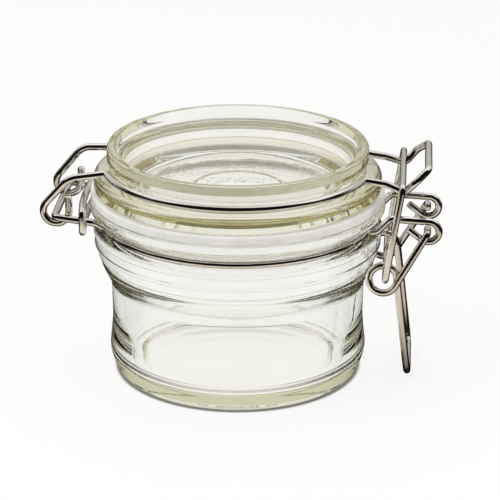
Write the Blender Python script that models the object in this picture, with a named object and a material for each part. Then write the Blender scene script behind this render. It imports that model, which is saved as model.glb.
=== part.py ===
"""Bail clamp jar: a squat glass jar with a glass lid, a rubber seal and an over-centre wire clamp.

World axes: Z up, the base on Z = 0, the lid's hinge towards -X and the clamp towards +X.
Lengths in this file are in millimetres, and each mesh is written in metres.
"""
import math

import bmesh
import bpy
import numpy as np
from mathutils import Matrix, Vector

MM = 0.001

# The jar's axis stands a little towards the hinge, so that the footprint of jar and clamp is centred.
AXIS_X = -2.0
ROUND_STEPS = 48
SECTION_STEP = math.radians(45.0)

# Wire: rings, keeper and lever are bent from one round wire, and the link from a finer one.
WIRE_R = 1.25
LINK_WIRE_R = 1.12
WIRE_SIDES = 8
BEND_STEP = math.radians(24.0)
RING_STEP = math.radians(9.0)

# Lid ring: sits in the groove under the lid's collar.
LID_RING_R = 45.3
LID_RING_Z = 73.15
HOOK_Y = 14.9
HOOK_CENTRE = (-60.35, 59.75)
HOOK_R = 4.35
HOOK_END_Z = 65.2
HOOK_BEND = (-55.6, 72.0)
HOOK_BEND_Y = 16.6
NOSE_Y = 14.1
NOSE_VALLEY = (56.8, 69.75)
NOSE_VALLEY_Y = 15.2
NOSE_RISE = (60.4, 73.95)
NOSE_RISE_Y = 16.8
NOSE_TIP = (64.5, 77.45)
NOSE_TIP_Y = 13.9

# Neck ring: sits in the groove under the jar's rim. Its nose is the hinge bar, its ends are the eyes.
NECK_RING_R = 46.5
NECK_RING_Z = 54.45
HINGE = (-60.6, 58.6)
HINGE_Y = 17.85
EYE_Y = 12.4
EYE_CENTRE = (65.1, 54.95)
EYE_R = 3.55
EYE_TAIL = 6.1

# Keeper: a narrow closed loop, bowed to the jar, that holds the hinge bar's two strands together.
KEEPER_X = -52.1
KEEPER_BOW = 1.4
KEEPER_Y = 20.35
KEEPER_Z = (53.9, 61.4)

# Lever: pins, arms, one turn of wire on each side, and a U-shaped handle.
PIVOT = (64.8, 55.2)
PIN_END_Y = 10.1
ARM_Y = (15.3, 17.6)
COIL_CENTRE = (50.2, 38.9)
COIL_R = 4.65
COIL_PITCH = 2.85
HANDLE_END = (59.3, 3.8)
HANDLE_END_Y = 14.4

# Link: a closed rectangular loop from the lever's coils to the nose of the lid ring.
LINK_FOOT = (51.1, 39.6)
LINK_HEAD = (56.12, 72.9)
LINK_Y = (20.45, 20.5)

# Half sections, as (radius, height, rounding) corners about the jar's axis.
# Jar: from the middle of the base up the outside, over the rim and down the inside.
JAR_SECTION = (
    (0.0, 1.5, 0.0), (33.0, 1.2, 2.0), (35.4, 0.0, 0.8), (41.9, 0.0, 2.4), (44.5, 7.4, 9.0),
    (43.3, 19.0, 40.0), (43.6, 33.0, 10.0), (46.9, 39.6, 8.0), (47.5, 42.4, 0.0),
    (47.9, 42.8, 0.0), (48.4, 45.6, 0.0), (49.0, 45.9, 0.0), (49.1, 46.8, 0.0),
    (48.7, 47.2, 0.0), (49.0, 50.0, 0.0), (49.4, 50.4, 0.0), (49.4, 52.5, 1.1),
    (44.8, 53.0, 0.8), (44.8, 58.2, 0.6), (50.4, 58.3, 0.9), (50.4, 61.8, 1.0),
    (40.3, 61.8, 0.9), (40.3, 55.8, 5.0), (44.8, 51.6, 5.0), (44.9, 42.0, 9.0),
    (39.7, 33.4, 9.0), (39.7, 5.0, 5.0), (0.0, 4.7, 0.0),
)

# Lid: from the middle of the underside round the plug, flange, groove and collar, then into the dish.
LID_SECTION = (
    (0.0, 60.2, 0.0), (38.9, 60.2, 2.2), (39.4, 65.7, 0.5), (49.0, 65.6, 1.0),
    (49.0, 71.2, 2.4), (43.4, 71.6, 0.5), (43.4, 74.8, 0.8), (44.4, 75.6, 0.6),
    (44.4, 80.4, 1.6), (41.6, 80.4, 1.2), (40.6, 71.4, 7.0), (37.0, 66.6, 5.0),
    (33.2, 65.4, 0.0), (32.2, 65.2, 0.0), (15.6, 65.1, 0.0), (14.9, 64.8, 0.0),
    (0.0, 64.8, 0.0),
)

# Seal: a flat ring of soft silicone around the plug, between the lid's flange and the jar's rim.
SEAL_SECTION = (
    (39.9, 62.1, 0.6), (50.1, 62.1, 0.7), (50.1, 65.3, 0.7), (39.9, 65.3, 0.6),
)


def material(name, colour, roughness, metallic=0.0, transmission=0.0, ior=1.5):
    """A Principled material of its own for one piece."""
    made = bpy.data.materials.new(name)
    made.use_nodes = True
    shader = made.node_tree.nodes["Principled BSDF"]
    shader.inputs["Base Color"].default_value = (*colour, 1.0)
    shader.inputs["Roughness"].default_value = roughness
    shader.inputs["Metallic"].default_value = metallic
    shader.inputs["Transmission Weight"].default_value = transmission
    shader.inputs["IOR"].default_value = ior
    made.diffuse_color = (*colour, 1.0)
    return made


def piece(name, points, faces, look, pivot=(0.0, 0.0)):
    """One named object from points in millimetres, with its origin at (pivot x, 0, pivot z)."""
    origin = Vector((pivot[0] + AXIS_X if any(pivot) else 0.0, 0.0, pivot[1])) * MM
    mesh = bpy.data.meshes.new(name)
    shifted = np.asarray(points, float) + (AXIS_X, 0.0, 0.0)
    mesh.from_pydata([Vector(p) * MM - origin for p in shifted], [], faces)
    mesh.update()
    made = bmesh.new()
    made.from_mesh(mesh)
    bmesh.ops.recalc_face_normals(made, faces=made.faces)
    made.to_mesh(mesh)
    made.free()
    mesh.materials.append(look)
    obj = bpy.data.objects.new(name, mesh)
    obj.matrix_world = Matrix.Translation(origin)
    bpy.context.scene.collection.objects.link(obj)
    for polygon in mesh.polygons:
        polygon.use_smooth = True
    mesh.set_sharp_from_angle(angle=math.radians(38.0))
    return obj


def bent(corners, step=BEND_STEP):
    """A wire's centre line through (point, bend radius) corners, each bend drawn as an arc."""
    path = []
    for index, (corner, radius) in enumerate(corners):
        here = np.array(corner, float)
        if radius == 0.0 or index in (0, len(corners) - 1):
            path.append(here)
            continue
        before = np.array(corners[index - 1][0], float) - here
        after = np.array(corners[index + 1][0], float) - here
        room = 0.49 * min(np.linalg.norm(before), np.linalg.norm(after))
        before /= np.linalg.norm(before)
        after /= np.linalg.norm(after)
        half = 0.5 * math.acos(np.clip(before @ after, -1.0, 1.0))
        reach = min(radius / math.tan(half), room)
        radius = reach * math.tan(half)
        inward = (before + after) / np.linalg.norm(before + after)
        middle = here + inward * radius / math.sin(half)
        out = here + before * reach - middle
        end = here + after * reach - middle
        sweep = math.pi - 2.0 * half
        count = max(1, math.ceil(sweep / step - 1e-6))
        for turn in np.linspace(0.0, 1.0, count + 1):
            mix = math.sin((1.0 - turn) * sweep) * out + math.sin(turn * sweep) * end
            path.append(middle + mix / math.sin(sweep))
    return path


def turned(name, section, look, pivot=(0.0, 0.0)):
    """A body of revolution about the jar's axis.

    A section that starts and ends on the axis is closed by its two poles, any other by itself.
    """
    on_axis = section[0][0] == 0.0
    corners = [((radius, 0.0, height), rounding) for radius, height, rounding in section]
    if not on_axis:
        start = ((section[0][0], 0.0, (section[0][1] + section[-1][1]) / 2.0), 0.0)
        corners = [start] + corners + [start]
    outline = bent(corners, SECTION_STEP)
    if not on_axis:
        outline = outline[:-1]
    points, rings, faces = [], [], []
    for radius, _, height in outline:
        if radius == 0.0:
            rings.append([len(points)] * ROUND_STEPS)
            points.append((0.0, 0.0, height))
            continue
        rings.append(list(range(len(points), len(points) + ROUND_STEPS)))
        for step in range(ROUND_STEPS):
            turn = 2.0 * math.pi * step / ROUND_STEPS
            points.append((radius * math.cos(turn), radius * math.sin(turn), height))
    pairs = list(zip(rings, rings[1:])) + ([] if on_axis else [(rings[-1], rings[0])])
    for low, high in pairs:
        for step in range(ROUND_STEPS):
            after = (step + 1) % ROUND_STEPS
            corners = [low[step], low[after], high[after], high[step]]
            faces.append(list(dict.fromkeys(corners)))
    return piece(name, points, faces, look, pivot)


def arc(centre, radius, start, end, step=BEND_STEP):
    """Points (x, z) on a circle from angle start to angle end, in radians."""
    count = max(2, math.ceil(abs(end - start) / step))
    return [
        (centre[0] + radius * math.cos(turn), centre[1] + radius * math.sin(turn))
        for turn in np.linspace(start, end, count + 1)
    ]


def touch_angle(centre, radius, point, side):
    """The angle on a circle where the tangent from a point outside it touches, on one side."""
    away = math.atan2(point[1] - centre[1], point[0] - centre[0])
    return away + side * math.acos(radius / math.dist(centre, point))


def mirrored(front):
    """The whole centre line from its front half: the back half is its reflection in Y."""
    back = [np.array(p) * (1.0, -1.0, 1.0) for p in reversed(front)]
    return [np.array(p, float) for p in front] + back


def wire(name, path, look, closed=False, pivot=(0.0, 0.0), radius=WIRE_R):
    """A round wire along a centre line, its section carried along without twisting."""
    path = np.array(path, float)
    apart = np.linalg.norm(np.diff(path, axis=0), axis=1) > 1e-6
    path = path[np.r_[True, apart]]
    count = len(path)
    if closed:
        ahead = np.roll(path, -1, axis=0) - path
        along = ahead / np.linalg.norm(ahead, axis=1)[:, None]
        tangent = along + np.roll(along, 1, axis=0)
    else:
        ahead = np.diff(path, axis=0)
        along = ahead / np.linalg.norm(ahead, axis=1)[:, None]
        tangent = np.vstack([along[:1], along[:-1] + along[1:], along[-1:]])
    tangent /= np.linalg.norm(tangent, axis=1)[:, None]
    side = np.cross(tangent[0], (0.0, 0.0, 1.0))
    if np.linalg.norm(side) < 0.1:
        side = np.cross(tangent[0], (0.0, 1.0, 0.0))
    sides = []
    for heading in tangent:
        side = side - heading * (side @ heading)
        side = side / np.linalg.norm(side)
        sides.append(side)
    sides = np.array(sides)
    lifts = np.cross(tangent, sides)
    twist = 0.0
    if closed:
        carried = sides[-1] - tangent[0] * (sides[-1] @ tangent[0])
        twist = math.atan2(carried @ lifts[0], carried @ sides[0])
    points, faces = [], []
    for index in range(count):
        undo = -twist * index / count
        for corner in range(WIRE_SIDES):
            turn = 2.0 * math.pi * corner / WIRE_SIDES + undo
            offset = math.cos(turn) * sides[index] + math.sin(turn) * lifts[index]
            points.append(path[index] + radius * offset)
    for index in range(count if closed else count - 1):
        here, there = index * WIRE_SIDES, (index + 1) % count * WIRE_SIDES
        for corner in range(WIRE_SIDES):
            after = (corner + 1) % WIRE_SIDES
            faces.append((here + corner, here + after, there + after, there + corner))
    if not closed:
        faces.append(tuple(range(WIRE_SIDES)))
        faces.append(tuple(range(len(points) - 1, len(points) - 1 - WIRE_SIDES, -1)))
    return piece(name, points, faces, look, pivot)


def around(radius, height, left_y, right_y):
    """The front arc of a ring in its groove, from the left strand's corner to the right one's."""
    left = math.pi + math.asin(left_y / radius)
    right = 2.0 * math.pi - math.asin(right_y / radius)
    return [(x, y, height) for x, y in arc((0.0, 0.0), radius, left, right, RING_STEP)]


def lid_ring_path():
    """Open hook, strand, groove, and the closed upturned nose that the link is hooked over."""
    bend = touch_angle(HOOK_CENTRE, HOOK_R, HOOK_BEND, 1)
    hook = [(x, -HOOK_Y, z) for x, z in arc(HOOK_CENTRE, HOOK_R, 0.0, bend - 2.0 * math.pi)]
    ring = around(LID_RING_R, LID_RING_Z, 14.1, 14.0)
    corners = [((HOOK_CENTRE[0] + HOOK_R, -HOOK_Y, HOOK_END_Z), 0.0)]
    corners += [(p, 0.0) for p in hook[:-1]]
    corners += [(hook[-1], 6.0), ((HOOK_BEND[0], -HOOK_BEND_Y, HOOK_BEND[1]), 6.4), (ring[0], 3.6)]
    corners += [(p, 0.0) for p in ring[1:-1]]
    corners += [(ring[-1], 3.6), ((50.4, -NOSE_Y, 72.1), 9.0)]
    corners += [((NOSE_VALLEY[0], -NOSE_VALLEY_Y, NOSE_VALLEY[1]), 2.75)]
    corners += [((NOSE_RISE[0], -NOSE_RISE_Y, NOSE_RISE[1]), 4.0)]
    corners += [((NOSE_TIP[0], -NOSE_TIP_Y, NOSE_TIP[1]), 2.8)]
    corners += [((NOSE_TIP[0], 0.0, NOSE_TIP[1]), 0.0)]
    return mirrored(bent(corners))


def neck_ring_path():
    """Eye, strand, groove, and the closed nose whose bar carries the lid's hooks."""
    tail = math.radians(232.3)
    heading = (math.sin(tail), -math.cos(tail))
    eye = arc(EYE_CENTRE, EYE_R, tail - 2.0 * math.pi, 0.5 * math.pi)
    end = (eye[0][0] + EYE_TAIL * heading[0], eye[0][1] + EYE_TAIL * heading[1])
    ring = around(NECK_RING_R, NECK_RING_Z, 16.0, EYE_Y)[::-1]
    corners = [((end[0], -EYE_Y, end[1]), 0.0)]
    corners += [((x, -EYE_Y, z), 0.0) for x, z in eye]
    corners += [((52.2, -EYE_Y, 59.2), 2.8), ((47.9, -EYE_Y, 54.45), 2.6), (ring[0], 2.2)]
    corners += [(p, 0.0) for p in ring[1:-1]]
    corners += [(ring[-1], 2.4), ((-47.3, -17.3, 56.7), 4.0)]
    corners += [((HINGE[0], -HINGE_Y, HINGE[1]), 1.9), ((HINGE[0], 0.0, HINGE[1]), 0.0)]
    return mirrored(bent(corners))


def closed_loop(corners):
    """The whole closed centre line from its front half, which starts and ends on the middle plane."""
    front = bent(corners)
    return front + [p * (1.0, -1.0, 1.0) for p in front[-2:0:-1]]


def keeper_path():
    """An upright closed loop, rounded at its two narrow ends and bowed like a parabola between."""
    low, high = KEEPER_Z
    bars = [(KEEPER_X + KEEPER_BOW * part**2, -KEEPER_Y * part) for part in (0.0, 0.35, 0.7)]
    end = (KEEPER_X + KEEPER_BOW, -KEEPER_Y)
    corners = [((x, y, low), 0.0) for x, y in bars]
    corners += [((*end, low), 2.4), ((*end, high), 2.4)]
    corners += [((x, y, high), 0.0) for x, y in reversed(bars)]
    return closed_loop(corners)


def lever_path():
    """Pin, arm, one turn of wire, handle strand, and across the end of the handle."""
    arrive = touch_angle(COIL_CENTRE, COIL_R, PIVOT, -1)
    leave = touch_angle(COIL_CENTRE, COIL_R, HANDLE_END, 1) - 2.0 * math.pi
    coil = arc(COIL_CENTRE, COIL_R, arrive, leave)
    depth = np.linspace(ARM_Y[1], ARM_Y[1] - COIL_PITCH, len(coil))
    corners = [((PIVOT[0], -PIN_END_Y, PIVOT[1]), 0.0)]
    corners += [((PIVOT[0], -ARM_Y[0], PIVOT[1]), 1.5)]
    corners += [((x, -y, z), 0.0) for (x, z), y in zip(coil, depth)]
    corners += [((HANDLE_END[0], -HANDLE_END_Y, HANDLE_END[1]), 3.0)]
    corners += [((HANDLE_END[0], 0.0, HANDLE_END[1]), 0.0)]
    return mirrored(bent(corners))


def link_path():
    """A closed rectangle, a little wider at its head."""
    corners = [
        ((LINK_FOOT[0], 0.0, LINK_FOOT[1]), 0.0),
        ((LINK_FOOT[0], -LINK_Y[0], LINK_FOOT[1]), 1.8),
        ((LINK_HEAD[0], -LINK_Y[1], LINK_HEAD[1]), 1.9),
        ((LINK_HEAD[0], 0.0, LINK_HEAD[1]), 0.0),
    ]
    return closed_loop(corners)


def without_repeats(path):
    """Drops the doubled point where a mirrored line crosses the middle plane."""
    kept = [path[0]]
    for point in path[1:]:
        if np.linalg.norm(point - kept[-1]) > 1e-6:
            kept.append(point)
    return kept


for old in list(bpy.data.objects):
    bpy.data.objects.remove(old, do_unlink=True)
bpy.context.scene.unit_settings.system = "METRIC"

glass = material("jar_glass", (0.93, 0.95, 0.91), 0.03, transmission=1.0, ior=1.52)
lid_glass = material("lid_glass", (0.92, 0.94, 0.90), 0.03, transmission=1.0, ior=1.52)
silicone = material("seal_silicone", (0.86, 0.88, 0.90), 0.45)
ring_steel = material("lid_ring_steel", (0.62, 0.60, 0.56), 0.22, metallic=1.0)
neck_steel = material("neck_ring_steel", (0.60, 0.58, 0.54), 0.22, metallic=1.0)
keeper_steel = material("keeper_steel", (0.58, 0.56, 0.52), 0.26, metallic=1.0)
lever_steel = material("lever_steel", (0.64, 0.61, 0.56), 0.22, metallic=1.0)
link_steel = material("link_steel", (0.66, 0.63, 0.57), 0.24, metallic=1.0)

turned("jar_body", JAR_SECTION, glass)
turned("lid", LID_SECTION, lid_glass, HINGE)
turned("seal", SEAL_SECTION, silicone, HINGE)
wire("lid_ring", without_repeats(lid_ring_path()), ring_steel, pivot=HINGE)
wire("neck_ring", without_repeats(neck_ring_path()), neck_steel)
wire("ring_keeper", keeper_path(), keeper_steel, closed=True)
wire("clamp_lever", without_repeats(lever_path()), lever_steel, pivot=PIVOT)
wire("clamp_link", link_path(), link_steel, closed=True, pivot=LINK_FOOT, radius=LINK_WIRE_R)
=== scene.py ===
# %% [markdown]
# # A bail clamp jar, dressed in glass, silicone and bright wire
#
# A bail clamp jar is a squat glass jar whose glass lid is pressed onto a soft seal by an
# over-centre wire clamp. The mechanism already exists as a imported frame: eight solids on four
# bodies, the jar and three that move. This lesson builds a fine skin for each solid, gives each
# skin a finish worked out by nodes, and lights the result like a small product study.
#
# The frame has to be loaded first, because every later cell reads its sizes. Its box is kept at
# once: the skins may never be bigger than the solids they stand for.

import bpy
import numpy as np
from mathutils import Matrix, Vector


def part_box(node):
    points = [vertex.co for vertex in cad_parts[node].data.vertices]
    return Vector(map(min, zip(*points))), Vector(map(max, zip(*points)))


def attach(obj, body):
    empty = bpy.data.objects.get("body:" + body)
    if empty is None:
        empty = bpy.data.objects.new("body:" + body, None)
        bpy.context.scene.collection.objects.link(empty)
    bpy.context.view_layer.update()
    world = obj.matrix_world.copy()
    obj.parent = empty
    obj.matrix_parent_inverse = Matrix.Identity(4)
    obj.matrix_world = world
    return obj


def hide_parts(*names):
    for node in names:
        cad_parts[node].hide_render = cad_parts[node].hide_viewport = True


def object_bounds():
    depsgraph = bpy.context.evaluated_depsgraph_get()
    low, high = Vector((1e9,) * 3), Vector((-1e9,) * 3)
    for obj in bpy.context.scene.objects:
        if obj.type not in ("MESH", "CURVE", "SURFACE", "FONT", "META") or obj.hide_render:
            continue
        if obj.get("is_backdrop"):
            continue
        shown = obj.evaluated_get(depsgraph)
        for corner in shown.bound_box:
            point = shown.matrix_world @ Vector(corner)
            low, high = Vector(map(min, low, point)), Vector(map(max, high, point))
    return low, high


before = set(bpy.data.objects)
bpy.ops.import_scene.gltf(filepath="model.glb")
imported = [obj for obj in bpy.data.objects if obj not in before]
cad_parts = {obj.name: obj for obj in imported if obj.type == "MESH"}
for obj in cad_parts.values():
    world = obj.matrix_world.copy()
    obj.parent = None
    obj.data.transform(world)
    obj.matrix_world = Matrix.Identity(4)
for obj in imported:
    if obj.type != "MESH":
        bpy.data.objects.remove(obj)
cad_box = [list(corner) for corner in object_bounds()]
print("box of the solids in mm:", np.round(1000 * np.array(cad_box), 2).tolist())

# %% [markdown]
# ## Where the jar stands
#
# Everything round in this object shares one upright axis, but the clamp makes the whole thing
# longer on one side, so the axis isn't at the origin. Its place could be typed in; reading it
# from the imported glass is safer, since then the skins stay on their solids if the solids move.
# Below, lengths are in millimetres about that axis, as a glassmaker's drawing would give them,
# and one function turns them into metres in the frame.

# %% The jar's axis
MM = 0.001
low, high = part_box("jar_body")
AXIS = np.array([(low.x + high.x) / 2, (low.y + high.y) / 2, low.z])
print("axis at", np.round(1000 * AXIS, 3), "mm")
print("glass", round(1000 * (high.x - low.x), 2), "mm across")

# %% [markdown]
# ## Rounded corners
#
# Pressed glass has no sharp edge, and wire has no sharp bend. Both can be drawn the same way:
# give the corners of a line, say how round each one is, and replace it by a true circular arc.
# A Bevel modifier could round the finished mesh instead, but it would round every corner alike.
# Doing it on the line lets a rim have 1 mm and a heel 9 mm.
#
# A circle's arc between two tangents is a rational curve, so all corners are found in one array
# expression.

# %% Lines with rounded corners
ARC_STEPS = 9  # straight pieces in each arc
LONGEST_REACH = 0.49  # of a side, so that the two arcs on one side never meet
LEAST_COSINE = -0.999  # a corner may not turn right back on itself
SAME_POINT = 1e-4  # mm; points nearer than this count as one
NO_LENGTH = 1e-12  # keeps a side of no length from dividing by nought


def rounded(corners, radii):
    """The line through corners, with the corner K of each one replaced by an arc of its radius r.

    The arc leaves the two sides at S and E, both r tan(turn / 2) from K, but never past the
    middle of a side. With w the cosine of half the turn and t from 0 to 1 it is
    ((1-t)^2 S + 2 w t (1-t) K + t^2 E) / ((1-t)^2 + 2 w t (1-t) + t^2). Repeated points are
    dropped.
    """
    corners, radii = np.asarray(corners, float), np.asarray(radii, float)[1:-1, None]
    sides = np.diff(corners, axis=0)
    lengths = np.linalg.norm(sides, axis=1)[:, None]
    heading = sides / np.maximum(lengths, NO_LENGTH)
    cosine = np.sum(heading[:-1] * heading[1:], axis=1)[:, None]
    cosine = np.clip(cosine, LEAST_COSINE, 1.0)
    room = LONGEST_REACH * np.minimum(lengths[:-1], lengths[1:])
    reach = np.minimum(radii * np.sqrt((1 - cosine) / (1 + cosine)), room)
    start, end = corners[1:-1] - reach * heading[:-1], corners[1:-1] + reach * heading[1:]
    w, t = np.sqrt((1 + cosine) / 2)[:, None], np.linspace(0, 1, ARC_STEPS + 1)[None, :, None]
    top = (1 - t) ** 2 * start[:, None] + 2 * w * t * (1 - t) * corners[1:-1, None]
    top = top + t**2 * end[:, None]
    arcs = (top / ((1 - t) ** 2 + 2 * w * t * (1 - t) + t**2)).reshape(-1, corners.shape[1])
    line = np.vstack([corners[:1], arcs, corners[-1:]])
    apart = np.linalg.norm(np.diff(line, axis=0), axis=1) > SAME_POINT
    return line[np.r_[True, apart]]


test = rounded([(0, 0), (10, 0), (10, 10)], [0, 4, 0])
test_radii = np.hypot(*(test[1:-1] - (6, 4)).T)
print("a quarter bend of radius 4 about (6, 4): radii", np.round(test_radii[[0, 4, -1]], 3))

# %% [markdown]
# ## From a grid to a skin
#
# A turned jar and a bent wire are the same kind of surface: a grid of points whose columns go
# round a section and whose rows go along. The rows may run from pole to pole, or close on
# themselves. Blender's Spin and Curve tools would make such shapes too, but a grid keeps the
# numbers in our hands: the same two parameters that place a point also give its own pattern
# place, which the wire's drawn lines need later.
#
# Poles and seams are closed by welding equal points before the mesh is made, so each skin is one
# watertight shell.

# %% Skins from grids
WELD_DECIMALS = 4  # points that agree to so many decimals of a millimetre become one
CREASE = np.radians(40.0)  # an edge that bends more than this stays sharp


def skin(name, grid, grain, closed_rows):
    """A closed mesh from grid[row, column] in mm about the jar's axis, columns all the way round.

    Each face joins rows i, i+1 and columns j, j+1, the last column to the first one. Points that
    coincide become one vertex, which turns the faces at a pole into triangles. The signed volume
    is the sum of a . (b x c) / 6 over the triangles: if it is negative, every face is turned
    round. grain is kept on each point as an attribute.
    """
    points = grid.reshape(-1, 3)
    _, first, weld = np.unique(
        np.round(points, WELD_DECIMALS), axis=0, return_index=True, return_inverse=True)
    place = weld.reshape(grid.shape[:2])
    if closed_rows:
        place = np.vstack([place, place[:1]])
    around = np.roll(place, -1, axis=1)
    quads = np.stack([place[:-1], around[:-1], around[1:], place[1:]], axis=-1).reshape(-1, 4)
    whole = (np.diff(np.sort(quads, axis=1), axis=1) != 0).all(axis=1)
    low_pole, high_pole = quads[:, 0] == quads[:, 1], quads[:, 2] == quads[:, 3]
    points = points[first] * MM + AXIS
    fan = np.vstack([quads[low_pole][:, [0, 2, 3]], quads[high_pole][:, [0, 1, 2]]])
    halves = np.vstack([quads[whole][:, [0, 1, 2]], quads[whole][:, [0, 2, 3]], fan])
    a, b, c = points[halves].transpose(1, 0, 2)
    volume = np.sum(a * np.cross(b, c)) / 6
    turn = slice(None, None, -1 if volume < 0 else 1)
    faces = quads[whole][:, turn].tolist() + fan[:, turn].tolist()
    mesh = bpy.data.meshes.new(name)
    mesh.from_pydata(points.tolist(), [], faces)
    pattern = mesh.attributes.new("grain", "FLOAT_VECTOR", "POINT")
    pattern.data.foreach_set("vector", grain.reshape(-1, 3)[first].ravel())
    mesh.shade_smooth()
    mesh.set_sharp_from_angle(angle=CREASE)
    made = bpy.data.objects.new(name, mesh)
    bpy.context.scene.collection.objects.link(made)
    print(f"{name}: {len(faces)} faces, {abs(volume) * 1e6:.2f} cm3")
    return made


# %% [markdown]
# ## Handing a skin to the mechanism
#
# A skin alone is only a shape in space. It has to ride on the body that its solid belongs to,
# hide that solid, and name the finish it takes. One call does all three, and measures how far
# the skin's box lies from its solid's box, which is the quickest way to see a mistyped number.

# %% Fit a skin to its solid
def dress(made, node, body, look):
    """Puts a finish on a skin, rides it on its body and hides its solid."""
    made.data.materials.append(look)
    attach(made, body)
    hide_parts(node)
    corners = np.empty(3 * len(made.data.vertices))
    made.data.vertices.foreach_get("co", corners)
    corners = corners.reshape(-1, 3)
    solid = np.array([list(corner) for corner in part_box(node)])
    apart = np.abs(np.array([corners.min(axis=0), corners.max(axis=0)]) - solid).max()
    print(f"{made.name} on {body}: box within {1000 * apart:.2f} mm of {node}")


# %% [markdown]
# ## Tools for nodes
#
# A finish is a small sum written in nodes, and the same few steps come back in every one, such as
# a noise or a product. Written out, each takes four lines and hides the sum. So each step becomes
# a function that adds its node and hands back the output, and a finish then reads as what it
# works out. The first ones are here; the others stand where they are first needed.

# %% Tools for nodes
def feed(tree, target, inputs):
    """Fills a node's inputs from (input, value or source socket) pairs."""
    for name, source in inputs:
        if isinstance(source, bpy.types.NodeSocket):
            tree.links.new(source, target.inputs[name])
        else:
            target.inputs[name].default_value = source


def node(tree, kind, inputs=(), **settings):
    """One node, with its settings, and its inputs as pairs."""
    made = tree.nodes.new(kind)
    for name, value in settings.items():
        setattr(made, name, value)
    feed(tree, made, inputs)
    return made


def noise(tree, place, scale, detail, roughness=0.5):
    """A noise's value, about 0.5 on average."""
    return node(tree, "ShaderNodeTexNoise", [
        ("Vector", place), ("Scale", scale), ("Detail", detail),
        ("Roughness", roughness)]).outputs["Fac"]


def worked(tree, operation, *values):
    """What a Math node makes of its values."""
    return node(tree, "ShaderNodeMath", enumerate(values), operation=operation).outputs[0]


def group(name, takes, gives):
    """A new node group with sockets as (name, kind, value), and its own inputs to work from."""
    tree = bpy.data.node_groups.new(name, "ShaderNodeTree")
    for side, sockets in (("INPUT", takes), ("OUTPUT", gives)):
        for title, kind, *value in sockets:
            made = tree.interface.new_socket(
                name=title, in_out=side, socket_type="NodeSocket" + kind)
            if value:
                made.default_value = value[0]
    return tree, node(tree, "NodeGroupInput").outputs


# %% [markdown]
# ## Ripples in pressed glass
#
# Pressed glass is never optically flat. The mould chills the surface as it shrinks, which leaves
# slow waves that bend what is seen through the wall. The waves could be modelled, but they are a
# few hundredths of a millimetre high, so a Bump is right for them. Both glass pieces use the
# effect, so it is a node group with its own inputs: slow waves from one noise, and a finer
# orange-peel from a second one.

# %% Node group: pressed glass ripples
PEEL_FINER = 9.0  # how many times finer the peel is than the waves

ripples, given = group(
    "pressed_ripples",
    [("Place", "Vector"), ("Wave Scale", "Float", 60.0), ("Peel Share", "Float", 0.12)],
    [("Height", "Float")])
waves = noise(ripples, given["Place"], given["Wave Scale"], detail=1.0, roughness=0.4)
peel_scale = worked(ripples, "MULTIPLY", given["Wave Scale"], PEEL_FINER)
peel = noise(ripples, given["Place"], peel_scale, detail=0.0)
peel_part = worked(ripples, "MULTIPLY", peel, given["Peel Share"])
height = worked(ripples, "ADD", waves, peel_part)
node(ripples, "NodeGroupOutput", [("Height", height)])
print("ripples group:", len(ripples.nodes), "nodes")

# %% [markdown]
# ## Handling marks
#
# Glass and rubber that people touch carry faint smears, which show only as a slightly duller
# shine. A smear is a patchy mask: a soft noise pushed through a narrow range, so that most of
# the surface stays clean.

# %% Node group: handling marks
SMEAR_STARTS, SMEAR_FULL = 0.52, 0.78  # of the noise


def ramp(tree, value, start, end, low=0.0, high=1.0, kind="LINEAR"):
    """low up to start, high from end on, and evenly between. start may lie above end."""
    return node(tree, "ShaderNodeMapRange", [
        ("Value", value), ("From Min", start), ("From Max", end), ("To Min", low),
        ("To Max", high)], interpolation_type=kind).outputs["Result"]


smears, given = group(
    "handling_marks",
    [("Place", "Vector"), ("Scale", "Float", 45.0), ("Clean", "Float", 0.02),
     ("Smeared", "Float", 0.08)],
    [("Roughness", "Float")])
patches = noise(smears, given["Place"], given["Scale"], detail=4.0, roughness=0.6)
dulled = ramp(smears, patches, SMEAR_STARTS, SMEAR_FULL, given["Clean"], given["Smeared"])
node(smears, "NodeGroupOutput", [("Roughness", dulled)])
print("handling group:", len(smears.nodes), "nodes")

# %% [markdown]
# ## Glass with colour in its depth
#
# Soda glass looks clear in a thin wall and olive in a thick one, because the colour is in the
# glass and not on it. A tinted surface would colour a thin wall as much as the rim. An absorbing
# volume inside a clear surface does what glass does: the longer the way through, the more blue
# is lost. The surface keeps a plain transmission.
#
# Lamps can't reach through refracting glass in a short render, so a shadow ray meets a
# transparent stand-in, tinted a little. Only shadows use it; what the eye sees goes through the
# real surface.

# %% Finish: soda glass
GLASS_IOR, GLASS_FACE = 1.52, (0.985, 0.99, 0.98, 1)
GLASS_SHADOW = (0.93, 0.94, 0.90, 1)  # the stand-in that shadow rays meet
GLASS_SMEARED = 0.05  # roughness where the glass was touched


def fresh_look(name):
    """A new material with its tree and its Principled shader."""
    look = bpy.data.materials.new(name)
    look.use_nodes = True
    return look, look.node_tree, look.node_tree.nodes["Principled BSDF"]


def bumped(tree, height, strength, distance):
    """The normal of a surface raised by distance metres where height is 1."""
    return node(tree, "ShaderNodeBump", [
        ("Height", height), ("Strength", strength), ("Distance", distance)]).outputs["Normal"]


def chosen(tree, share, first, second):
    """A mix of two shaders, all first at share 0."""
    return node(tree, "ShaderNodeMixShader", [
        ("Fac", share), (1, first), (2, second)]).outputs[0]


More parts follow.
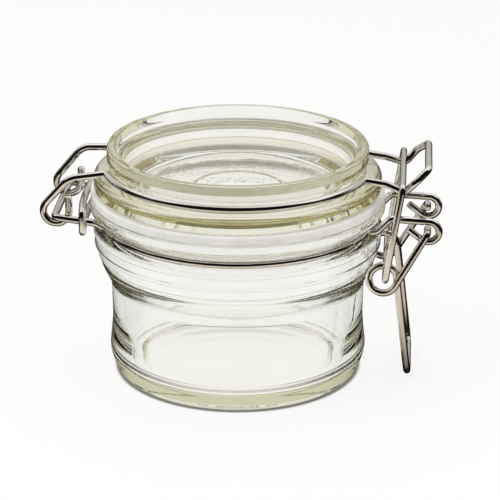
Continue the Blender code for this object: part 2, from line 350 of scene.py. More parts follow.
def soda_glass(name, colour_left, density, wave_scale, ripple):
    """Clear glass that colours what goes through it.

    The volume lets exp(-(1 - colour_left) density way) of the light through, which is about
    colour_left after a way of 1/density metres. The waves are ripple metres high.
    """
    look, tree, shader = fresh_look(name)
    place = node(tree, "ShaderNodeTexCoord").outputs["Object"]
    relief = node(tree, "ShaderNodeGroup", [
        ("Place", place), ("Wave Scale", wave_scale)], node_tree=ripples)
    marks = node(tree, "ShaderNodeGroup", [
        ("Place", place), ("Clean", 0.0), ("Smeared", GLASS_SMEARED)], node_tree=smears)
    feed(tree, shader, [
        ("Base Color", GLASS_FACE), ("Transmission Weight", 1.0), ("IOR", GLASS_IOR),
        ("Normal", bumped(tree, relief.outputs["Height"], strength=1.0, distance=ripple)),
        ("Roughness", marks.outputs["Roughness"])])
    through = node(tree, "ShaderNodeBsdfTransparent", [("Color", GLASS_SHADOW)])
    rays = node(tree, "ShaderNodeLightPath").outputs
    body = node(tree, "ShaderNodeVolumeAbsorption", [
        ("Color", (*colour_left, 1)), ("Density", density)])
    feed(tree, tree.nodes["Material Output"], [
        ("Surface", chosen(
            tree, rays["Is Shadow Ray"], shader.outputs["BSDF"], through.outputs["BSDF"])),
        ("Volume", body.outputs["Volume"])])
    return look


jar_glass = soda_glass(
    "jar_glass", (0.88, 0.88, 0.78), density=30.0, wave_scale=55.0, ripple=0.00005)
lid_glass = soda_glass(
    "lid_glass", (0.87, 0.85, 0.71), density=40.0, wave_scale=75.0, ripple=0.00006)
print("glass:", jar_glass.name, lid_glass.name)

# %% [markdown]
# ## The jar
#
# The jar is pressed and blown in a mould, so it is a body of revolution: a foot, a heel that
# curves into a nearly straight wall, a shoulder marked by fine steps and one narrow bead, a
# groove for the neck wire and a rim flange above it. Its section is listed from the middle of
# the base up the outside, over the rim and down the inside: radius, height and how round the
# corner is. Turning it round the axis is a function of two parameters, the place on the section
# and the angle. The wall has to have a real inner face, since it is the two faces that make
# glass look like glass.

# %% Turn a section into a body
AROUND = 288  # columns in one turn


def turned(name, section):
    """P(s, a) = (r(s) cos a, r(s) sin a, h(s)), with r, h on the rounded section, a all round.

    A section that starts on the axis runs from pole to pole. Any other is a closed loop, which
    starts and ends in the middle of its first side.
    """
    rows = np.array(section, float)
    on_axis = rows[0, 0] == 0.0
    if not on_axis:
        start = [[rows[0, 0], (rows[0, 1] + rows[-1, 1]) / 2, 0.0]]
        rows = np.vstack([start, rows, start])
    outline = rounded(rows[:, :2], rows[:, 2])
    if not on_axis:
        outline = outline[:-1]
    turn = 2 * np.pi * np.arange(AROUND) / AROUND
    radius, level = outline[:, :1], outline[:, 1:]
    grid = np.stack([radius * np.cos(turn), radius * np.sin(turn), level + 0 * turn], axis=-1)
    return skin(name, grid, grid * MM, not on_axis)


# %% Jar
JAR_SECTION = (
    (0.0, 1.5, 0.0), (33.0, 1.2, 2.0), (35.4, 0.0, 0.8), (41.9, 0.0, 2.4), (44.5, 7.4, 9.0),
    (43.3, 19.0, 40.0), (43.6, 33.0, 10.0), (46.9, 39.6, 8.0), (47.5, 42.4, 0.3),
    (47.9, 42.8, 0.4), (48.4, 45.6, 0.3), (49.0, 45.9, 0.4), (49.1, 46.8, 0.4),
    (48.7, 47.2, 0.3), (49.0, 50.0, 0.3), (49.4, 50.4, 0.4), (49.4, 52.5, 1.1),
    (44.8, 53.0, 0.8), (44.8, 58.2, 0.6), (50.4, 58.3, 0.9), (50.4, 61.8, 1.0),
    (40.3, 61.8, 0.9), (40.3, 55.8, 5.0), (44.8, 51.6, 5.0), (44.9, 42.0, 9.0),
    (39.7, 33.4, 9.0), (39.7, 5.0, 5.0), (0.0, 4.7, 0.0),
)
dress(turned("jar_skin", JAR_SECTION), "jar_body", "jar", jar_glass)

# %% [markdown]
# ## The lid
#
# The lid is a pressed glass dish: a plug that centres it in the neck, a wide flange that rests
# on the seal, a groove that holds the wire ring, and a tall collar round a sunken floor. Inside,
# a slanted face leads down from the lip and a cone runs on to a crisp edge round the floor. One
# faint step near the floor's middle is where the mould's plunger was stepped. It is turned the
# same way, and rides on the lid's body, so that it lifts with the hinge.

# %% Lid
LID_SECTION = (
    (0.0, 60.2, 0.0), (38.9, 60.2, 2.2), (39.4, 65.7, 0.5), (49.0, 65.6, 1.0),
    (49.0, 71.2, 2.4), (43.4, 71.6, 0.5), (43.4, 74.8, 0.8), (44.4, 75.6, 0.6),
    (44.4, 80.4, 1.6), (41.9, 80.4, 0.8), (39.1, 76.0, 0.5), (38.2, 69.9, 1.6),
    (31.6, 65.1, 0.3), (15.6, 65.1, 0.5), (14.9, 64.8, 0.4),
    (0.0, 64.8, 0.0),
)
dress(turned("lid_skin", LID_SECTION), "lid", "lid", lid_glass)

# %% [markdown]
# ## Silicone
#
# The seal is a flat ring of milky silicone. Silicone lets some light in and scatters it, so its
# edges glow and its surface has a soft, slightly greasy sheen. Subsurface scattering gives the
# glow; a fine bump stands for the matt face of the moulding tool, a faint mottling of the pale
# tone for dust that clings to it, and the handling marks make the sheen patchy.

# %% Finish: milky silicone
SILICONE_TONES = ((0.3, (0.74, 0.74, 0.71, 1)), (0.7, (0.82, 0.82, 0.79, 1)))  # along the noise
DUST_SCALE, TOOL_SCALE, TOOL_HEIGHT = 140.0, 2600.0, 0.00004


def milky_silicone(name):
    """A pale scattering rubber with a matt face."""
    look, tree, shader = fresh_look(name)
    place = node(tree, "ShaderNodeTexCoord").outputs["Object"]
    dust = noise(tree, place, DUST_SCALE, detail=3.0)
    tone = node(tree, "ShaderNodeValToRGB", [("Fac", dust)])
    for stop, (position, colour) in zip(tone.color_ramp.elements, SILICONE_TONES):
        stop.position, stop.color = position, colour
    marks = node(tree, "ShaderNodeGroup", [
        ("Place", place), ("Clean", 0.38), ("Smeared", 0.55)], node_tree=smears)
    tooled = noise(tree, place, TOOL_SCALE, detail=1.0)
    matt = bumped(tree, tooled, strength=0.35, distance=TOOL_HEIGHT)
    feed(tree, shader, [
        ("Base Color", tone.outputs["Color"]), ("Roughness", marks.outputs["Roughness"]),
        ("Normal", matt), ("Subsurface Weight", 0.35), ("Subsurface Radius", (1.0, 0.95, 0.85)),
        ("Subsurface Scale", 0.0015), ("IOR", 1.41)])
    return look


silicone = milky_silicone("milky_silicone")
print("silicone:", silicone.name)

# %% [markdown]
# ## The seal
#
# The seal lies between the jar's rim and the lid's flange, and reaches a millimetre past the
# flange. A torus would be the quick way, but its section is a plain rectangle with soft corners.
# So it is turned like the glass, as a closed loop this time.

# %% Seal
SEAL_SECTION = (
    (39.9, 62.1, 0.6), (50.1, 62.1, 0.7), (50.1, 65.3, 0.7), (39.9, 65.3, 0.6),
)
dress(turned("seal_skin", SEAL_SECTION), "seal", "lid", silicone)

# %% [markdown]
# ## Drawn wire
#
# The clamp is bent from round steel wire that has been pulled through a die and brightened. The
# die leaves hair-fine lines along the wire, never across it, so the pattern has to follow the
# wire round every bend. The skins carry a grain attribute for this: where a point lies round the
# wire, as a cosine and a sine, and how far along it is. Noise on those three numbers, squeezed
# along the length, is a bundle of fine lines with no seam.

# %% Node group: drawn lines
LINE_SQUEEZE = (1.0, 1.0, 30.0)  # cosine, sine, and metres along the wire
SPOT_SCALE, SPOTS_START, SPOTS_FULL = 1.1, 0.42, 0.72


def mixed(tree, share, first, second, kind="MIX"):
    """A mix of two colours, all first at share 0."""
    return node(tree, "ShaderNodeMix", [
        (0, share), (6, first), (7, second)], data_type="RGBA", blend_type=kind).outputs[2]


drawn, given = group(
    "drawn_lines",
    [("Grain", "Vector"), ("Fineness", "Float", 9.0), ("Bright", "Color", (0.78, 0.76, 0.72, 1)),
     ("Dull", "Color", (0.55, 0.51, 0.46, 1))],
    [("Color", "Color"), ("Height", "Float"), ("Lines", "Float")])
squeeze = node(drawn, "ShaderNodeMapping", [("Vector", given["Grain"]), ("Scale", LINE_SQUEEZE)])
lines = noise(drawn, squeeze.outputs["Vector"], given["Fineness"], detail=5.0, roughness=0.6)
spots = noise(drawn, squeeze.outputs["Vector"], SPOT_SCALE, detail=3.0)
dull_share = ramp(drawn, spots, SPOTS_START, SPOTS_FULL)
tint = mixed(drawn, dull_share, given["Bright"], given["Dull"])
node(drawn, "NodeGroupOutput", [("Color", tint), ("Height", lines), ("Lines", lines)])
print("drawn lines group:", len(drawn.nodes), "nodes")

# %% [markdown]
# ## Bright metal
#
# The metal takes its colour and its fine lines from the group, and its shine changes a little
# with the lines. Round wire has dark flanks, since they mirror the dark side of a studio. The
# room built below is too simple to do that on every bend, so the metal's colour is darkened
# towards its edge by Layer Weight: painted shade standing in for that dark reflection. It is the
# weakest means in this lesson: it follows the eye, and an exported model can't carry it.

# %% Finish: bright wire
# Painted edge shade: where on Facing it starts and is full, and the share of the colour left
# there.
PAINTED_SHADE_STARTS, PAINTED_SHADE_FULL, PAINTED_SHADE_LEFT = 0.60, 0.92, 0.12  # of Facing, and the share left there
LINES_START, LINES_FULL, LINE_HEIGHT = 0.3, 0.75, 0.00002


def smooth(tree, value, start, end, low=0.0, high=1.0):
    """A ramp that starts and ends gently: t^2 (3 - 2 t) where the plain one is t."""
    return ramp(tree, value, start, end, low, high, "SMOOTHSTEP")


def bright_wire(name, bright, dull, polished, scratched):
    """Drawn steel: grain colour with painted shade at its edge, grain lines, roughness polished
    to scratched.
    """
    look, tree, shader = fresh_look(name)
    grain = node(tree, "ShaderNodeAttribute", attribute_name="grain").outputs["Vector"]
    worn = node(tree, "ShaderNodeGroup", [
        ("Grain", grain), ("Bright", (*bright, 1)), ("Dull", (*dull, 1))],
        node_tree=drawn).outputs
    # Painted shade: Layer Weight darkens the metal's colour towards the wire's edge, in place of
    # the room's dark reflection.
    facing = node(tree, "ShaderNodeLayerWeight", [("Blend", 0.5)]).outputs["Facing"]
    painted_edge_shade = smooth(tree, facing, PAINTED_SHADE_STARTS, PAINTED_SHADE_FULL, 1.0, PAINTED_SHADE_LEFT)
    feed(tree, shader, [
        ("Metallic", 1.0), ("Base Color", mixed(tree, 1.0, worn["Color"], painted_edge_shade, "MULTIPLY")),
        ("Roughness", ramp(tree, worn["Lines"], LINES_START, LINES_FULL, polished, scratched)),
        ("Normal", bumped(tree, worn["Height"], strength=0.5, distance=LINE_HEIGHT))])
    return look


ring_wire = bright_wire(
    "bright_ring_wire", (0.88, 0.86, 0.82), (0.60, 0.56, 0.50), polished=0.04, scratched=0.14)
clamp_wire = bright_wire(
    "bright_clamp_wire", (0.86, 0.82, 0.76), (0.54, 0.49, 0.43), polished=0.05, scratched=0.16)
print("wire:", ring_wire.name, clamp_wire.name)

# %% [markdown]
# ## Carrying a circle along a line
#
# A bent wire is a circle carried along a centre line. The circle must not spin as it goes, or
# the drawn lines would wind round the wire like a thread. The usual way is to walk along the
# line and turn the frame a little at each step. The same result comes in whole arrays: choose
# any side direction at each point, measure how far the next one is turned from it once it has
# been carried over, and take off the running sum of those turns.

# %% Sweep a round wire
WIRE_R, LINK_WIRE_R, WIRE_SIDES = 1.24, 1.11, 32
END_FALL = np.array([0.0, 0.55, 0.86, 1.0])  # share of the radius on the rows of an open end
END_DOME = 0.28  # how far an open end is domed, in mm


def carried(sides, here, there):
    """Each side turned by the smallest turn that takes the heading here to there:
    s - (s.t) (h + t) / (1 + h.t)."""
    dot = np.sum(sides * there, axis=-1, keepdims=True)
    return sides - dot * (here + there) / (1 + np.sum(here * there, axis=-1, keepdims=True))


def swept(name, path, closed, radius=WIRE_R):
    """P(s, a) = C(s) + r (cos a U(s) + sin a V(s)), with U and V square to the line, not
    turning about it.

    Each end of an open wire gets three more rows, whose radius falls to nothing over a slight
    dome: a share f of the radius lies END_DOME (1 - sqrt(1 - f^2)) further in, like a cap cut
    from a ball.
    """
    ahead = (np.roll(path, -1, axis=0) - path) if closed else np.diff(path, axis=0)
    step = np.linalg.norm(ahead, axis=1)
    ahead = ahead / step[:, None]
    behind = np.roll(ahead, 1, axis=0) if closed else np.vstack([ahead[:1], ahead])
    ahead = ahead if closed else np.vstack([ahead, ahead[-1:]])
    heading = (ahead + behind) / np.linalg.norm(ahead + behind, axis=1)[:, None]
    away = np.eye(3)[np.argmin(np.abs(heading), axis=1)]
    side = np.cross(heading, away)
    side /= np.linalg.norm(side, axis=1)[:, None]
    lift = np.cross(heading, side)
    over = carried(side[:-1], heading[:-1], heading[1:])
    turns = np.arctan2(np.sum(over * lift[1:], axis=1), np.sum(over * side[1:], axis=1))
    total = np.r_[0.0, np.cumsum(turns)]
    if closed:
        last = carried(side[-1], heading[-1], heading[0])
        left = total[-1] + np.arctan2(last @ lift[0], last @ side[0])
        left = (left + np.pi) % (2 * np.pi) - np.pi
        total = total - left * np.arange(len(path)) / len(path)
    around = 2 * np.pi * np.arange(WIRE_SIDES) / WIRE_SIDES
    angle = total[:, None] + around
    circles = np.cos(angle)[..., None] * side[:, None] + np.sin(angle)[..., None] * lift[:, None]
    along = np.r_[0.0, np.cumsum(step)][: len(path)]
    size = np.full(len(path), radius)
    centre = path
    if not closed:
        rows = len(END_FALL)
        dome = END_DOME * (1 - np.sqrt(1 - END_FALL**2))
        centre = np.vstack([
            path[0] + heading[0] * dome[:, None], path[1:-1],
            path[-1] - heading[-1] * dome[::-1, None]])
        circles = np.vstack([
            np.repeat(circles[:1], rows, axis=0), circles[1:-1],
            np.repeat(circles[-1:], rows, axis=0)])
        size = np.r_[radius * END_FALL, size[1:-1], radius * END_FALL[::-1]]
        along = np.r_[np.full(rows, along[0]), along[1:-1], np.full(rows, along[-1])]
    grid = centre[:, None] + size[:, None, None] * circles
    place = around + 0 * size[:, None]
    grain = np.stack([np.cos(place), np.sin(place), MM * along[:, None] + 0 * place], axis=-1)
    print(f"{name}: {step.sum():.1f} mm of wire, {len(path)} stations")
    return skin(name, grid, grain, closed)


# %% [markdown]
# ## Runs and bends
#
# All the wires are described alike, as a bender would: rows of x, y, z and the radius of the
# bend there. A circle is a run of many points with no bend of their own. Each wire is the same
# on both sides of the middle plane, so only the front half is written, the one with y below
# nought, and its reflection is joined to it.

# %% Describe a wire
def at(x, y, z, bend=0.0):
    """One corner, or a run of them, as rows of x, y, z and bend radius."""
    return np.stack(np.broadcast_arrays(x, y, z, bend), axis=-1).reshape(-1, 4).astype(float)


def circle(centre, radius, start, end, degrees):
    """The points centre + radius (cos a, sin a) for a from start to end, as two rows, no more
    than so many degrees apart."""
    a = np.linspace(start, end, int(np.ceil(abs(end - start) / np.radians(degrees))) + 1)
    return np.stack([centre[0] + radius * np.cos(a), centre[1] + radius * np.sin(a)])


def touching(centre, radius, point, side):
    """The angle where a line from a point just touches a circle: the point's own direction, plus
    or minus the angle whose cosine is the radius over the distance."""
    dx, dz = np.subtract(point, centre)
    return np.arctan2(dz, dx) + side * np.arccos(radius / np.hypot(dx, dz))


def both_sides(front, loop=False):
    """The bent front half and its reflection in the middle plane, as one line without repeated
    points."""
    line = rounded(front[:, :3], front[:, 3])
    line = np.vstack([line, line[::-1] * (1, -1, 1)])
    apart = np.linalg.norm(np.roll(line, -1, axis=0) - line, axis=1) > SAME_POINT
    return line[apart if loop else np.r_[apart[:-1], True]]


def groove_run(radius, height, strands_y, bends):
    """The front arc of a wire ring, from where its left strand meets it to where its right one
    does, at those distances from the middle plane and with those bends."""
    left, right = np.arcsin(np.divide(strands_y, radius))
    x, y = circle((0, 0), radius, np.pi + left, 2 * np.pi - right, degrees=2.5)
    run = at(x, y, height)
    run[[0, -1], 3] = bends
    return run


# %% [markdown]
# ## The lid's ring
#
# One wire holds the lid. It lies in the groove under the collar, reaches back on two strands
# that end in open hooks over the hinge bar, and at the front closes into an upturned nose that
# the clamp's link pulls on. The hooks are only laid round the bar, so the lid can be unhooked
# and washed.

# %% Lid ring
LID_RING_R, LID_RING_Z, LID_STRANDS_Y, LID_STRAND_BENDS = 45.3, 73.15, (14.1, 14.0), (3.6, 3.6)
HOOK_CENTRE, HOOK_R, HOOK_Y = (-60.35, 59.75), 4.35, 14.9
HOOK_END_Z, HOOK_LEAVES_BEND, HOOK_BEND = 65.2, 6.0, (-55.6, -16.6, 72.0, 6.4)
NOSE = (
    (50.4, -14.1, 72.1, 9.0), (56.8, -15.2, 69.75, 2.75), (60.4, -16.8, 73.95, 4.0),
    (64.5, -13.9, 77.45, 2.8), (64.5, 0.0, 77.45, 0.0),
)

hook_leaves = touching(HOOK_CENTRE, HOOK_R, HOOK_BEND[::2], 1) - 2 * np.pi
hook = circle(HOOK_CENTRE, HOOK_R, 0.0, hook_leaves, degrees=7.0)
hook_run = at(hook[0], -HOOK_Y, hook[1])
hook_run[-1, 3] = HOOK_LEAVES_BEND
lid_ring_line = both_sides(np.vstack([
    at(HOOK_CENTRE[0] + HOOK_R, -HOOK_Y, HOOK_END_Z),
    hook_run,
    HOOK_BEND,
    groove_run(LID_RING_R, LID_RING_Z, LID_STRANDS_Y, LID_STRAND_BENDS),
    NOSE,
]))
dress(swept("lid_ring_skin", lid_ring_line, False), "lid_ring", "lid", ring_wire)

# %% [markdown]
# ## The neck's ring
#
# The second ring is tied round the neck. At the back it closes into the straight bar the hooks
# turn on. At the front its two ends are curled into eyes, with the loose tails bent back, and
# the lever's pins sit in those eyes.

# %% Neck ring
NECK_RING_R, NECK_RING_Z, EYE_Y, BACK_Y, NECK_STRAND_BENDS = 46.5, 54.45, 12.4, 16.0, (2.4, 2.2)
EYE_CENTRE, EYE_R, EYE_TAIL, TAIL_ANGLE = (65.1, 54.95), 3.55, 6.1, np.radians(232.3)
EYE_NECK = ((52.2, -EYE_Y, 59.2, 2.8), (47.9, -EYE_Y, 54.45, 2.6))
HINGE_BAR = ((-47.3, -17.3, 56.7, 4.0), (-60.6, -17.85, 58.6, 1.9), (-60.6, 0.0, 58.6, 0.0))

eye = circle(EYE_CENTRE, EYE_R, TAIL_ANGLE - 2 * np.pi, np.pi / 2, degrees=7.0)
tail_end = eye[:, 0] + EYE_TAIL * np.array([np.sin(TAIL_ANGLE), -np.cos(TAIL_ANGLE)])
neck_ring_line = both_sides(np.vstack([
    at(tail_end[0], -EYE_Y, tail_end[1]),
    at(eye[0], -EYE_Y, eye[1]),
    EYE_NECK,
    groove_run(NECK_RING_R, NECK_RING_Z, (BACK_Y, EYE_Y), NECK_STRAND_BENDS)[::-1],
    HINGE_BAR,
]))
dress(swept("neck_ring_skin", neck_ring_line, False), "neck_ring", "jar", ring_wire)

# %% [markdown]
# ## The keeper
#
# A small closed loop is slid over the two strands of the hinge bar. It keeps them together, so
# that the neck ring can't open. It is bowed, so that its middle stays clear of the glass while
# its ends pull in.

# %% Keeper
KEEPER_X, KEEPER_BOW, KEEPER_Y, KEEPER_Z, KEEPER_BEND = -52.1, 1.4, 20.35, (53.9, 61.4), 2.4
BOWED_SHARE, BOW_POINTS = 0.84, 8  # of each half, from the middle plane outwards

part = np.linspace(0.0, BOWED_SHARE, BOW_POINTS)
bow_x, bow_y = KEEPER_X + KEEPER_BOW * part**2, -KEEPER_Y * part
keeper_line = both_sides(np.vstack([
    at(bow_x, bow_y, KEEPER_Z[0]),
    at(KEEPER_X + KEEPER_BOW, -KEEPER_Y, KEEPER_Z, KEEPER_BEND),
    at(bow_x[::-1], bow_y[::-1], KEEPER_Z[1]),
]), loop=True)
dress(swept("keeper_skin", keeper_line, True), "ring_keeper", "jar", ring_wire)

# %% [markdown]
# ## The lever
#
# The lever is what a hand pulls. Each side starts as a pin in an eye, runs down as an arm, makes
# one full turn of wire that holds the link, and goes on as the handle, which is closed across
# its end. The turn is a short helix: its depth changes evenly while its angle does, so the arm
# and the handle lie side by side.

# %% Clamp lever
PIVOT, PIN_END_Y, ARM_Y, ARM_BEND = (64.8, 55.2), 10.1, 15.3, 1.5
COIL_CENTRE, COIL_R, COIL_Y, COIL_PITCH = (50.2, 38.9), 4.65, 17.6, 2.85
HANDLE_END, HANDLE_END_Y, HANDLE_BEND = (59.3, 3.8), 14.4, 3.0

arrive = touching(COIL_CENTRE, COIL_R, PIVOT, -1)
leave = touching(COIL_CENTRE, COIL_R, HANDLE_END, 1) - 2 * np.pi
coil = circle(COIL_CENTRE, COIL_R, arrive, leave, degrees=6.0)
lever_line = both_sides(np.vstack([
    at(PIVOT[0], -PIN_END_Y, PIVOT[1]),
    at(PIVOT[0], -ARM_Y, PIVOT[1], ARM_BEND),
    at(coil[0], -np.linspace(COIL_Y, COIL_Y - COIL_PITCH, coil.shape[1]), coil[1]),
    at(HANDLE_END[0], -HANDLE_END_Y, HANDLE_END[1], HANDLE_BEND),
    at(HANDLE_END[0], 0.0, HANDLE_END[1]),
]))
dress(swept("lever_skin", lever_line, False), "clamp_lever", "lever", clamp_wire)

# %% [markdown]
# ## The link
#
# The link is a plain closed rectangle of wire. Its lower bar hangs in the lever's two turns, its
# upper bar is hooked over the lid ring's nose. When the lever goes down past the pivot, the link
# pulls the nose down and stays there.

# %% Clamp link
LINK = (
    (51.1, 0.0, 39.6, 0.0), (51.1, -20.45, 39.6, 1.8),
    (56.12, -20.5, 72.9, 1.9), (56.12, 0.0, 72.9, 0.0),
)

link_skin = swept("link_skin", both_sides(np.array(LINK), loop=True), True, LINK_WIRE_R)
dress(link_skin, "clamp_link", "link", clamp_wire)

# %% [markdown]
# ## A floor that is white and still takes a shadow
#
# A clear object on white is the classic test of a table-top studio. If the floor were only lit,
# it would have to be overlit to look white. Instead it shows the eye plain white with a share of
# its real lit colour, so that the jar's soft shadow stays on it, and a painted contact shadow: a
# thin dark ring where the foot stands.
#
# What glass and wire show of the floor is set apart from that, as a studio does with dark cloth
# laid outside the frame: a mirroring face sees it dark, with one warm bright patch just before
# the jar, and light bent by glass sees it white near the jar and dim far in front.

# %% Floor
WHITE = (1, 1, 1, 1)
# The painted contact shadow: a ring of floor from the foot's radius outwards, darkest at the foot
# and white again past its width.
FOOT_RADIUS, PAINTED_SHADOW_WIDTH, PAINTED_SHADOW_LEFT = 41.9 * MM, 1.6 * MM, 0.10
LIT_TONE = (0.86, 0.86, 0.85, 1)
BENT_DIM, BENT_WHITE = (0.32, 0.295, 0.245, 1), (0.98, 0.98, 0.97, 1)
MIRROR_DARK, MIRROR_WARM = (0.012, 0.011, 0.010, 1), (0.80, 0.74, 0.63, 1)
# Each pair is where a ramp starts and ends, in metres: along y, where the jar stands at nought
# and its front is below nought, and for the last one to either side.
BENT_FADE, PATCH_NEAR, PATCH_FAR = (-0.40, -0.08), (-0.015, -0.05), (-0.23, -0.13)
PATCH_SIDE = (0.14, 0.24)


def white_floor(name, size, lit_share):
    """A square floor from -size to size: white to the eye, with lit_share of its lit colour and a
    painted contact shadow.
    """
    corners = [(-size, -size, 0), (size, -size, 0), (size, size, 0), (-size, size, 0)]
    mesh = bpy.data.meshes.new(name)
    mesh.from_pydata(corners, [], [(0, 1, 2, 3)])
    made = bpy.data.objects.new(name, mesh)
    bpy.context.scene.collection.objects.link(made)
    look, tree, unused = fresh_look(name)
    tree.nodes.remove(unused)
    here = node(tree, "ShaderNodeTexCoord").outputs["Object"]
    x, y, _ = node(tree, "ShaderNodeSeparateXYZ", [("Vector", here)]).outputs
    rays = node(tree, "ShaderNodeLightPath").outputs
    lit = node(tree, "ShaderNodeBsdfDiffuse", [("Color", LIT_TONE)]).outputs[0]

    from_axis = node(tree, "ShaderNodeVectorMath", [
        (0, here), (1, tuple(AXIS))], operation="DISTANCE").outputs["Value"]
    # Painted shadow: the white the eye sees is darkened in a thin ring round the jar's foot.
    painted_contact_shadow = smooth(
        tree, from_axis, FOOT_RADIUS, FOOT_RADIUS + PAINTED_SHADOW_WIDTH, PAINTED_SHADOW_LEFT, 1.0)
    white = node(tree, "ShaderNodeEmission", [("Color", WHITE), ("Strength", painted_contact_shadow)])
    seen = chosen(tree, lit_share, white.outputs[0], lit)

    bent_tone = mixed(tree, smooth(tree, y, *BENT_FADE), BENT_DIM, BENT_WHITE)
    bent = node(tree, "ShaderNodeEmission", [("Color", bent_tone)])

    along = worked(tree, "MULTIPLY", smooth(tree, y, *PATCH_NEAR), smooth(tree, y, *PATCH_FAR))
    aside = smooth(tree, worked(tree, "ABSOLUTE", x), *PATCH_SIDE, 1.0, 0.0)
    patch = worked(tree, "MULTIPLY", along, aside)
    mirrored = node(tree, "ShaderNodeEmission", [
        ("Color", mixed(tree, patch, MIRROR_DARK, MIRROR_WARM))])

    by_eye = chosen(tree, rays["Is Camera Ray"], lit, seen)
    by_mirror = chosen(tree, rays["Is Glossy Ray"], by_eye, mirrored.outputs[0])
    by_glass = chosen(tree, rays["Is Transmission Ray"], by_mirror, bent.outputs[0])
    feed(tree, tree.nodes["Material Output"], [("Surface", by_glass)])
    mesh.materials.append(look)
    made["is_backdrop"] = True
    return made


floor = white_floor("floor", size=3.0, lit_share=0.18)
print("floor:", floor.name)

# %% [markdown]
# ## The room in the world
#
# Clear glass is drawn by what it bends into view. On an all-white set it would vanish, so a
# studio puts dark cards out of sight. Here the world is the room: a white back wall, a ceiling
# that is bright only above and behind the jar, and dark on every other side. The dark gives the
# glass its grey outlines and the wire its black core. Directions come from the world's own
# coordinates, so the room stays put when the camera walks round.
#
# Not every ray sees the same room. The wall is dimmed for what is mirrored. Light that glass has
# bent sees the wall reach further round, and a warm light that is never weaker than BENT_LEAST,
# because a real room fills in what this one leaves black. Matt surfaces never get less than
# MATT_LEAST. The eye itself sees plain white.

# %% World
CEILING_RISE, CEILING_FRONT = (0.42, 0.64), (-0.32, -0.10)  # along z, and along y
WALL_FADE, WALL_DARK, WALL_BRIGHT, WALL_MIRRORED = (0.05, 0.60), 0.01, 0.95, 0.70
BENT_REACH, BENT_LEAST, MATT_LEAST = 0.40, 0.62, 0.50
DARK_TONE, BENT_TONE = (0.80, 0.72, 0.58, 1), (0.91, 0.87, 0.80, 1)

world = bpy.data.worlds.new("studio_room")
bpy.context.scene.world = world
world.use_nodes = True
room = world.node_tree
coordinates = node(room, "ShaderNodeTexCoord").outputs["Generated"]
_, back, up = node(room, "ShaderNodeSeparateXYZ", [("Vector", coordinates)]).outputs
rays = node(room, "ShaderNodeLightPath").outputs
bent = rays["Is Transmission Ray"]

ceiling = worked(
    room, "MULTIPLY", smooth(room, up, *CEILING_RISE), smooth(room, back, *CEILING_FRONT))
reached = worked(room, "MULTIPLY_ADD", bent, BENT_REACH, back)
wall = smooth(room, reached, *WALL_FADE, WALL_DARK, WALL_BRIGHT)
is_mirrored = worked(room, "SUBTRACT", rays["Is Glossy Ray"], bent)
dimmed_wall = worked(room, "MULTIPLY", wall, ramp(room, is_mirrored, 0, 1, 1.0, WALL_MIRRORED))
lights = worked(room, "MAXIMUM", ceiling, dimmed_wall)
with_bent = worked(room, "MAXIMUM", lights, ramp(room, bent, 0, 1, 0.0, BENT_LEAST))
with_matt = worked(
    room, "MAXIMUM", with_bent, ramp(room, rays["Is Diffuse Ray"], 0, 1, 0.0, MATT_LEAST))
strength = worked(room, "MAXIMUM", with_matt, rays["Is Camera Ray"])
tone = mixed(room, bent, mixed(room, strength, DARK_TONE, WHITE), BENT_TONE)
feed(room, room.nodes["Background"], [("Color", tone), ("Strength", strength)])
print("world:", len(room.nodes), "nodes")

# %% [markdown]
# ## Soft lamps
#
# Two broad area lamps finish the light on matt things, the floor and the seal: one high on the
# left that models the form, one lower and weaker on the right. Glass and wire don't show them,
# since a lamp's square would stand out there; the room alone gives those their reflections.

# %% Lamps
LAMP_TARGET = Vector((0, 0, 0.04))
LAMPS = (
    ("key_softbox", (-0.55, -0.35, 0.85), 0.55, 5.0),
    ("fill_softbox", (0.75, -0.30, 0.45), 0.45, 2.0),
)


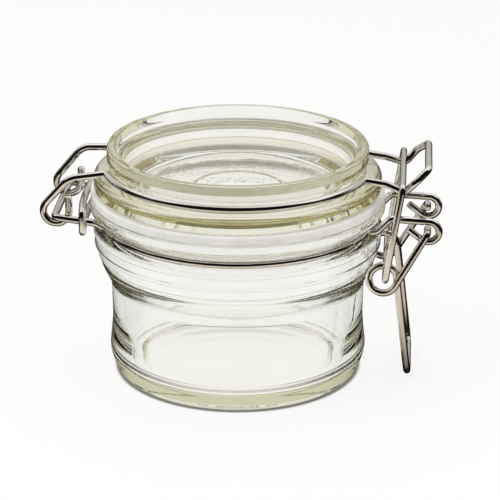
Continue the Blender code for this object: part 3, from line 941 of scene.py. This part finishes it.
def softbox(name, place, size, power):
    """A square area lamp at place, turned to face the jar."""
    lamp = bpy.data.lights.new(name, "AREA")
    lamp.shape, lamp.size, lamp.energy = "SQUARE", size, power
    made = bpy.data.objects.new(name, lamp)
    made.location = place
    made.rotation_euler = (LAMP_TARGET - Vector(place)).to_track_quat("-Z", "Y").to_euler()
    made.visible_glossy = made.visible_transmission = False
    bpy.context.scene.collection.objects.link(made)


for lamp_facts in LAMPS:
    softbox(*lamp_facts)

# %% [markdown]
# ## The camera
#
# The jar is looked at from a little right of its front and about twenty degrees above, from far
# enough away that the rims are nearly parallel ellipses. A long lens keeps the proportions of
# the real thing. A small shift frames it.

# %% Camera
DISTANCE, AZIMUTH, ELEVATION = 0.780, np.radians(4.5), np.radians(21.5)
LOOKED_AT = Vector((AXIS[0], AXIS[1], 0.040))

flat = np.cos(ELEVATION)
towards = Vector((np.sin(AZIMUTH) * flat, -np.cos(AZIMUTH) * flat, np.sin(ELEVATION)))
lens = bpy.data.cameras.new("camera")
lens.lens, lens.sensor_width = 162.8, 36.0
lens.shift_x, lens.shift_y = 0.0244, 0.0084
lens.clip_start, lens.clip_end = 0.01, 50.0
camera = bpy.data.objects.new("camera", lens)
camera.location = LOOKED_AT + DISTANCE * towards
camera.rotation_euler = (-towards).to_track_quat("-Z", "Y").to_euler()
bpy.context.scene.collection.objects.link(camera)
bpy.context.scene.camera = camera
bpy.context.scene.view_settings.view_transform = "Standard"
print("camera at", [round(v, 3) for v in camera.location])

# %% [markdown]
# ## Enough bounces for nested glass
#
# Seen through the lid, light crosses the lid, the air in the jar and its far wall: a dozen glass
# faces. With the usual limit the last of them would turn black, so the limit for transmission is
# raised. Light that a wall holds in by total reflection counts as glossy, and would turn black
# in streaks, so that limit is raised as well.

# %% Light bounces
BOUNCES = 32

cycles = bpy.context.scene.cycles
cycles.max_bounces = cycles.transmission_bounces = cycles.transparent_max_bounces = BOUNCES
cycles.glossy_bounces = BOUNCES
print("bounces:", cycles.max_bounces)

# %% [markdown]
# ## Compare the boxes and finish
#
# Last, the box of the dressed object is held against the box of the solids, and how far it
# reaches past them is printed.

# %% Finish
dressed_box = [list(corner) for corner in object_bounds()]
past = np.r_[np.subtract(cad_box[0], dressed_box[0]), np.subtract(dressed_box[1], cad_box[1])]
print("outside the solids' box, mm:", np.round(1000 * past, 3).tolist())
